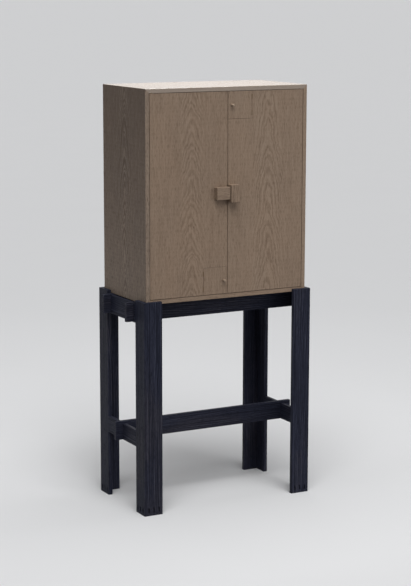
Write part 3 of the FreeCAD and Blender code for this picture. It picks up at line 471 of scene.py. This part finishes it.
# %% Tones of the veneer
VENEER_TONES = [(0.0, (0.111, 0.074, 0.050)), (0.32, (0.180, 0.125, 0.088)),
                (0.55, (0.241, 0.174, 0.125)), (1.0, (0.338, 0.259, 0.193))]
GREYING = (0.90, 0.945, 1.0)
GREYER_TONES = [(place, tuple(part * share for part, share in zip(colour, GREYING)))
                for place, colour in VENEER_TONES]
VENEER_WARMTH = (1.03, 0.985, 0.94)
WARM_PATCHES = {"start": 0.35, "end": 0.65, "high": 0.35}
VENEER_SWINGS = {"band": 0.24, "fleck": 0.30, "fibre": 0.36}
BLOTCH_SWING = 0.16
VENEER_PORE_TONE = 0.32       # tone lost in an open pore
VENEER_PORE_RETURN = 0.075    # tone given back to the whole sheet for its pores
print("veneer has", len(VENEER_TONES), "tones")

# %% [markdown]
# ### The oak recipe
# The pores crowd between flecks and in the early wood, as in a real ring. They are dark, a
# little rougher than the rest, and sunk. A board's edge is covered with a strip of its own,
# the lipping, which could be one more piece, but a veneered edge has no step to model, so
# the recipe gives that strip another tone.

# %% Greyed oak
BLOTCH_REPEATS = (7.0, 3.0, 7.0)
EARLY_WOOD = (0.55, 0.95)     # share of a ring over which its early wood begins
EARLY_PORES = 0.06
VENEER_PORES = {"off_flecks": 0.34, "opening": (0.56, 0.64)}
LIPPING_SEAM = 0.0002         # metres over which a strip gives way to the sheet
VENEER_ROUGHNESS = {"start": 0.1, "end": 0.9, "low": 0.62, "high": 0.52}
VENEER_PORE_ROUGHNESS = 0.12
VENEER_RELIEF = {"depth": 0.00012, "strength": 0.6}


def greyed_oak(name, across, along, through, centre, pith=0.02, taper=0.25, ring=0.008,
               reach=0.06, seed=0.0, figure=0.22, tones=VENEER_TONES, level=0.5, slope=0.0,
               grain=1.0, lipping=None, polish=0.0, sheen=0.32):
    """Oak veneer with a matt grey-brown oil: arches, streaks, pores and slow blotches. The
    tone is level plus slope times the height along the grain; figure is the strength of
    the rings and grain that of the fibres and pores. Where lipping is given, as
    (direction, place, tone), the board's edge before that place is a strip of its own
    with that tone."""
    finish = Finish(name)
    u, v, w, space = board_space(finish, across, along, through, centre)
    line, shown, part = ring_arches(finish, u, v, w, space, pith, taper, ring, reach, seed)
    streaks, pore = fibres(finish, space, seed)
    blotch = finish.noise(space, BLOTCH_REPEATS)
    early = finish.rise(part, *EARLY_WOOD) * shown
    open_pore = open_pores(finish, pore, streaks["fleck"], early * EARLY_PORES, **VENEER_PORES)
    grain_tone = added_swings(streaks, VENEER_SWINGS) - open_pore * VENEER_PORE_TONE
    # The slope term makes a sheet lighter or darker along its height: a painted gradient of
    # light and shade.
    tone = (line.swing(figure) * shown + grain_tone * grain + blotch.swing(BLOTCH_SWING)
            + v * slope + (level + VENEER_PORE_RETURN))
    if lipping:
        direction, edge, edge_level = lipping
        reading = {"across": u, "through": w}[direction]
        strip = finish.rise(reading, edge - LIPPING_SEAM, edge, low=1.0, high=0.0)
        tone = tone + strip * ((edge_level - level) - v * slope)
    warm_share = finish.rise(blotch, **WARM_PATCHES)
    colour = finish.mix(warm_share, finish.ramp(tone, tones), VENEER_WARMTH, "MULTIPLY")
    roughness = (finish.rise(tone, **VENEER_ROUGHNESS) + open_pore * VENEER_PORE_ROUGHNESS
                 - polish)
    relief = streaks["fibre"] * 0.25 + line * shown * 0.15 - open_pore * 0.8
    return finish.surface(colour, roughness, Specular_IOR_Level=sheen,
                          normal=finish.bump(relief, **VENEER_RELIEF))


print("greyed_oak is ready")

# %% [markdown]
# ### Laying the sheets
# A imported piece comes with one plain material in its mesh. Only that material is swapped:
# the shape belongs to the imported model. The grain of a board lies in one of four ways,
# which are named here, and a sheet may cover more than one piece.

# %% Sheets and directions
UPRIGHT_FRONT = {"across": "x", "along": "z", "through": "y"}
UPRIGHT_SIDE = {"across": "y", "along": "z", "through": "x"}
LYING_FLAT = {"across": "y", "along": "x", "through": "z"}
LYING_FRONT = {"across": "z", "along": "x", "through": "y"}


def dress(node, material):
    """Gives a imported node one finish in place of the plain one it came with."""
    mesh = nodes[node].data
    mesh.materials.clear()
    mesh.materials.append(material)


def lay_sheet(name, *covered, **facts):
    """Slices one sheet of greyed oak and lays it on the pieces that it covers."""
    sheet = greyed_oak(name, **facts)
    for node in covered:
        dress(node, sheet)
    print(name, "on", *covered)


print("an upright front is", UPRIGHT_FRONT)

# %% [markdown]
# ### Doors
# Each door has its own sheet with the crown near its middle, and the hatch is cut out of the
# same sheet, so door and hatch share one material and the figure runs on across the cut.
# Two materials with the same numbers would look alike too, but then a change to one could
# be forgotten in the other.

# %% Veneer on the doors
door_low, door_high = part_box("left_door_panel")
FRONT_Y = door_low[1]
MIDDLE_Z = (door_low[2] + door_high[2]) / 2

# Both doors get lighter towards their top through the slope: a painted gradient of the light
# from above.
lay_sheet("left_door_veneer", "left_door_panel", "left_hatch_panel",
          **UPRIGHT_FRONT, centre=(-0.156, MIDDLE_Z, FRONT_Y), pith=0.010, taper=0.36,
          ring=0.0140, reach=0.044, seed=2.0, figure=0.18, slope=0.05)
# The right door's level of 0.53 makes it a shade lighter than the left: painted light for the
# stronger light at the right.
lay_sheet("right_door_veneer", "right_door_panel", "right_hatch_panel",
          **UPRIGHT_FRONT, centre=(0.178, MIDDLE_Z, FRONT_Y), pith=0.020, taper=0.17,
          ring=0.0110, reach=0.066, seed=9.0, figure=0.20, level=0.53, slope=0.05)

# %% [markdown]
# ### Sides and top
# The sides are veneered upright, like the doors, and the top along the cabinet. The left
# side's sheet is coarser than the doors' and set darker, a painted shade for the side that
# gets less light; it gets lighter towards its foot, a painted sheen. A side shows a strip of
# lipping at its front edge, and the top one all round under its face. The top's sheet is set
# pale, a painted light from above, and its edge strip is paler too, partly a painted sheen;
# the top is smooth and shiny enough to mirror. A clear coat would do that too, but this is
# an oiled face, so a lower roughness on the oil itself is nearer to the truth.

# %% Veneer on the sides and the top
top_low, top_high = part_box("top_panel")
TOP_THICKNESS = top_high[2] - top_low[2]
LIPPING_THICKNESS = 0.001
LEFT_CROWN_Y = 0.002
RIGHT_CROWN_Y = 0.030

# The left side's low level is a painted shade for the side that gets less light, and its
# negative slope a painted sheen that grows towards its foot.
lay_sheet("left_side_veneer", "left_side_panel",
          **UPRIGHT_SIDE, centre=(LEFT_CROWN_Y, MIDDLE_Z, -0.350), pith=0.014, taper=0.20,
          ring=0.0085, reach=0.050, seed=23.0, figure=0.44, tones=GREYER_TONES, grain=1.6,
          level=0.32, slope=-0.55,
          lipping=("across", FRONT_Y + LIPPING_THICKNESS - LEFT_CROWN_Y, 0.56))
lay_sheet("right_side_veneer", "right_side_panel",
          **UPRIGHT_SIDE, centre=(RIGHT_CROWN_Y, MIDDLE_Z, 0.334), pith=0.024, taper=0.20,
          ring=0.0085, reach=0.060, seed=31.0,
          lipping=("across", FRONT_Y + LIPPING_THICKNESS - RIGHT_CROWN_Y, 0.64))
# The top's high level of 0.88 is painted light from the softbox above. Its edge strip's 0.80,
# paler than the doors, is partly a painted sheen.
lay_sheet("top_veneer", "top_panel",
          **LYING_FLAT, centre=(0.010, 0.0, top_low[2]), pith=0.022, taper=0.20,
          ring=0.0088, reach=0.060, seed=41.0, tones=GREYER_TONES, level=0.88,
          lipping=("through", TOP_THICKNESS - LIPPING_SEAM, 0.80), polish=0.36, sheen=1.0)

# %% [markdown]
# ### Inner boards
# The bottom and the shelves are veneered along the cabinet, the back upright, and the
# fold-out shelf across the door that carries it. Each could have a sheet of its own, but
# the two fixed shelves come from one log, at different depths, and so they differ anyway.

# %% Veneer inside
lay_sheet("bottom_veneer", "bottom_panel",
          **LYING_FLAT, centre=(-0.015, 0.0, 0.823), pith=0.020, taper=0.24,
          ring=0.0082, reach=0.060, seed=47.0)
lay_sheet("shelf_veneer", "middle_shelf", "upper_shelf",
          **LYING_FLAT, centre=(0.040, 0.0, 1.004), pith=0.025, taper=0.21,
          ring=0.0090, reach=0.055, seed=53.0)
lay_sheet("back_veneer", "back_panel",
          **UPRIGHT_FRONT, centre=(-0.060, MIDDLE_Z, 0.1858), pith=0.030, taper=0.16,
          ring=0.0090, reach=0.110, seed=61.0)
lay_sheet("fold_out_shelf_veneer", "fold_out_shelf",
          **LYING_FRONT, centre=(1.262, -0.186, -0.1607), pith=0.018, taper=0.20,
          ring=0.0085, reach=0.060, seed=67.0)

# %% [markdown]
# ### Solid oak
# The handles, the knobs and the shelf's bracket are solid. They could have a recipe of
# their own, but solid oak differs from a sheet in numbers alone: its rings are tight and
# show from edge to edge, so a small ring, a small taper and a long reach go in.

# %% Handles, knobs and bracket
lay_sheet("bracket_oak", "shelf_bracket",
          **LYING_FRONT, centre=(1.050, -0.10, -0.1607), pith=0.050, taper=0.06,
          ring=0.0060, reach=0.200, seed=71.0)
lay_sheet("left_handle_oak", "left_handle",
          **LYING_FRONT, centre=(1.180, -0.03, -0.206), pith=0.012, taper=0.05,
          ring=0.0052, reach=0.200, seed=79.0, level=0.50)
lay_sheet("right_handle_oak", "right_handle",
          **UPRIGHT_FRONT, centre=(0.050, MIDDLE_Z, -0.206), pith=0.012, taper=0.05,
          ring=0.0052, reach=0.200, seed=83.0, level=0.48)
lay_sheet("knob_oak", "left_hatch_knob", "right_hatch_knob",
          across="x", along="y", through="z", centre=(0.010, 0.0, 1.20), pith=0.050,
          taper=0.05, ring=0.0040, reach=0.900, seed=97.0, level=0.80)

# %% [markdown]
# ## Black-stained oak
# Stain goes deepest into the open pores and takes least on the dense late wood, so black
# oak isn't even: it keeps fine streaks along the plank, a little lighter and cooler than
# the rest, pores that stay open under a thin matt coat, and patches that wear has turned
# brown. One colour with a noise would look like plastic, so rings are counted here too, as
# slanting layers that wander, closer together than in the veneer.

# %% Tones of the stain
# The tones are blue-black: partly the stain's own cool cast, partly a painted blue light that
# falls on the legs.
STAIN_AND_BLUE_LIGHT_TONES = [(0.0, (0.0048, 0.0054, 0.0092)), (0.45, (0.0138, 0.0153, 0.0266)),
               (0.75, (0.0278, 0.0304, 0.0500)), (1.0, (0.0575, 0.0610, 0.0880))]
STAIN_LEVEL = 0.59
STAIN_SWINGS = {"line": 0.32, "band": 0.80, "fleck": 0.25, "fibre": 0.75, "wear": 0.30}
STAIN_PORE_TONE = 0.30
STAIN_PORES = {"off_flecks": 0.30, "opening": (0.55, 0.63)}
PALE_SIDE_PORES = 0.03
STAIN_ROUGHNESS = {"start": 0.2, "end": 0.9, "low": 0.60, "high": 0.46}
STAIN_PORE_ROUGHNESS = 0.15
STAIN_RELIEF = {"depth": 0.00018, "strength": 0.7}
WORN_BROWN = (1.15, 0.99, 0.78)
WORN_PATCHES = {"start": 0.44, "end": 0.66, "high": 0.6}
WORN_FLECKS = 0.4             # how far flecks break up the edge of a worn patch
WEAR_REPEATS = (6.0, 2.0, 6.0)
print("stain has", len(STAIN_AND_BLUE_LIGHT_TONES), "tones")

# %% [markdown]
# ### The stained recipe
# A plank is sawn, not sliced, so its rings are layers that cross it at a slant: the count
# is taken from a slanting distance instead of the distance from a pith. The streaks are
# the veneer's, with other spans, and the pores lean to the pale side of each ring.

# %% Stained oak
PLANK_RING = 0.0062
PLANK_RINGS = {"wander": 1.3, "wander_repeats": 0.4,
               "brightens": (0.05, 0.45), "darkens": (0.55, 0.98)}
LAYER_SLANT = (0.9, 0.5)      # of the distance across and of that through the plank
LAYER_WANDER = 0.055          # metres
LAYER_WANDER_REPEATS = (9.0, 1.5, 9.0)


def stained_oak(name, across, along, through, centre, seed):
    """Oak under black stain: close rings, pale streaks and sunk pores. The ring count is
    (a slanting distance + wander) / ring."""
    finish = Finish(name)
    u, _, w, space = board_space(finish, across, along, through, centre)
    wander = finish.noise(space, LAYER_WANDER_REPEATS).swing(LAYER_WANDER)
    count = (u * LAYER_SLANT[0] + w * LAYER_SLANT[1] + wander) / PLANK_RING
    line, _ = ring_line(finish, count, seed, **PLANK_RINGS)
    streaks, pore = fibres(finish, space, seed)
    wear = finish.noise(space, WEAR_REPEATS)
    open_pore = open_pores(finish, pore, streaks["fleck"], (line - 1.0) * PALE_SIDE_PORES,
                           **STAIN_PORES)
    tone = (added_swings({"line": line, "wear": wear, **streaks}, STAIN_SWINGS)
            - open_pore * STAIN_PORE_TONE + STAIN_LEVEL)
    browned = finish.rise(wear + streaks["fleck"].swing(WORN_FLECKS), **WORN_PATCHES)
    colour = finish.mix(browned, finish.ramp(tone, STAIN_AND_BLUE_LIGHT_TONES), WORN_BROWN, "MULTIPLY")
    roughness = finish.rise(tone, **STAIN_ROUGHNESS) + open_pore * STAIN_PORE_ROUGHNESS
    relief = streaks["fibre"] * 0.35 + line * 0.25 - open_pore
    return finish.surface(colour, roughness, Specular_IOR_Level=0.08,
                          normal=finish.bump(relief, **STAIN_RELIEF))


print("rings in the planks are", PLANK_RING * 1000, "mm apart")

# %% [markdown]
# ### Stain on the stand
# Every plank's grain runs along its length, whichever way the plank stands, so there is one
# finish for each way: leg planks that face the front or the side, and rails and stretchers
# that run across or from front to back. The end of a piece's name says which it is.

# %% Planks and rails
STAND_OAKS = {
    ("front_plank", "rear_plank"):
        stained_oak("black_oak_upright", "x", "z", "y", (0.013, 0.0, 0.031), seed=5.0),
    ("side_plank",):
        stained_oak("black_oak_upright_side", "y", "z", "x", (0.0, 0.0, 0.02), seed=13.0),
    ("cross_rail", "cross_stretcher"):
        stained_oak("black_oak_cross", "z", "x", "y", (0.0, 0.0, 0.0), seed=19.0),
    ("side_rail", "side_stretcher"):
        stained_oak("black_oak_side", "z", "y", "x", (0.0, 0.0, 0.0), seed=29.0),
}
for endings, oak in STAND_OAKS.items():
    stained = [node for node in nodes if node.endswith(endings)]
    for node in stained:
        dress(node, oak)
    print(oak.name, "on", *stained)

# %% [markdown]
# ## Small metal
# Brass turns brown in the places that hands don't rub, and steel screws have a dull zinc
# coat. A polished metal would need something to mirror; these are all small and satin, so
# they share one recipe: a colour that varies slowly, and fine scratches in roughness and
# relief.

# %% Metals
TARNISH_REPEATS = (90.0, 90.0, 90.0)
UPRIGHT_SCRATCHES = (5200.0, 5200.0, 260.0)
LEVEL_SCRATCHES = (260.0, 5200.0, 5200.0)
SCRATCH_ROUGHNESS = 0.10


def metal(name, dark, light, roughness):
    """Satin metal: a slow tarnish between two colours and fine scratches both ways."""
    finish = Finish(name)
    place = finish.place()
    tarnish = finish.noise(place, TARNISH_REPEATS, detail=3.0)
    upright = finish.noise(place, UPRIGHT_SCRATCHES)
    level = finish.noise(place, LEVEL_SCRATCHES)
    scratches = upright + level - 1.0
    colour = finish.mix(finish.rise(tarnish, 0.3, 0.7), dark, light)
    return finish.surface(colour, scratches * SCRATCH_ROUGHNESS + roughness, metallic=1.0,
                          normal=finish.bump(scratches, depth=0.00002, strength=0.3))


brass = metal("browned_brass", (0.105, 0.066, 0.032), (0.21, 0.142, 0.075), roughness=0.42)
steel = metal("zinc_steel", (0.40, 0.41, 0.42), (0.58, 0.585, 0.59), roughness=0.38)
nickel = metal("nickel_magnet", (0.60, 0.59, 0.57), (0.74, 0.73, 0.71), roughness=0.22)
print(brass.name, steel.name, nickel.name)

# %% [markdown]
# ## Catches and loose tongues
# The catches are brown moulded plastic with a spark-eroded skin, which is a fine even
# speckle in colour, roughness and relief. The tongues in the mitres are raw beech. Beech
# could have a recipe of its own, but a tongue hardly ever shows, so oak's serves, with
# paler tones and little figure.

# %% Plastic and beech
SPARK_REPEATS = (1500.0, 1500.0, 1500.0)
BEECH_TONES = [(0.0, (0.30, 0.18, 0.10)), (0.4, (0.42, 0.27, 0.16)),
               (0.7, (0.52, 0.36, 0.23)), (1.0, (0.60, 0.44, 0.30))]

plastic = Finish("catch_plastic")
spark = plastic.noise(plastic.place(), SPARK_REPEATS)
plastic.surface(plastic.mix(spark, (0.030, 0.022, 0.016), (0.044, 0.033, 0.025)),
                roughness=spark * 0.2 + 0.42,
                normal=plastic.bump(spark, depth=0.00003, strength=0.5))
beech = greyed_oak("raw_beech", **UPRIGHT_FRONT, centre=(0.0, 1.2, 0.0), seed=91.0,
                   figure=0.1, tones=BEECH_TONES)
print(plastic.material.name, beech.name)

# %% [markdown]
# ### Every small piece by its slot
# Hinges, screws, pins and catches are too many to name one by one. Each came with a plain
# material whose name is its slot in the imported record, so the slot picks the finish. The
# last line lists what is still plain, and it should list nothing.

# %% Small pieces
SLOT_FINISHES = {"brass": brass, "steel": steel, "magnet": nickel,
                 "catch_plastic": plastic.material, "beech": beech}
for node in nodes:
    slot = nodes[node].data.materials[0].name
    if slot in SLOT_FINISHES:
        dress(node, SLOT_FINISHES[slot])
plain_slots = {entry["slot"] for entry in frame["record"]["materials"]}
print("still plain:", [node for node in nodes
                       if nodes[node].data.materials[0].name in plain_slots])
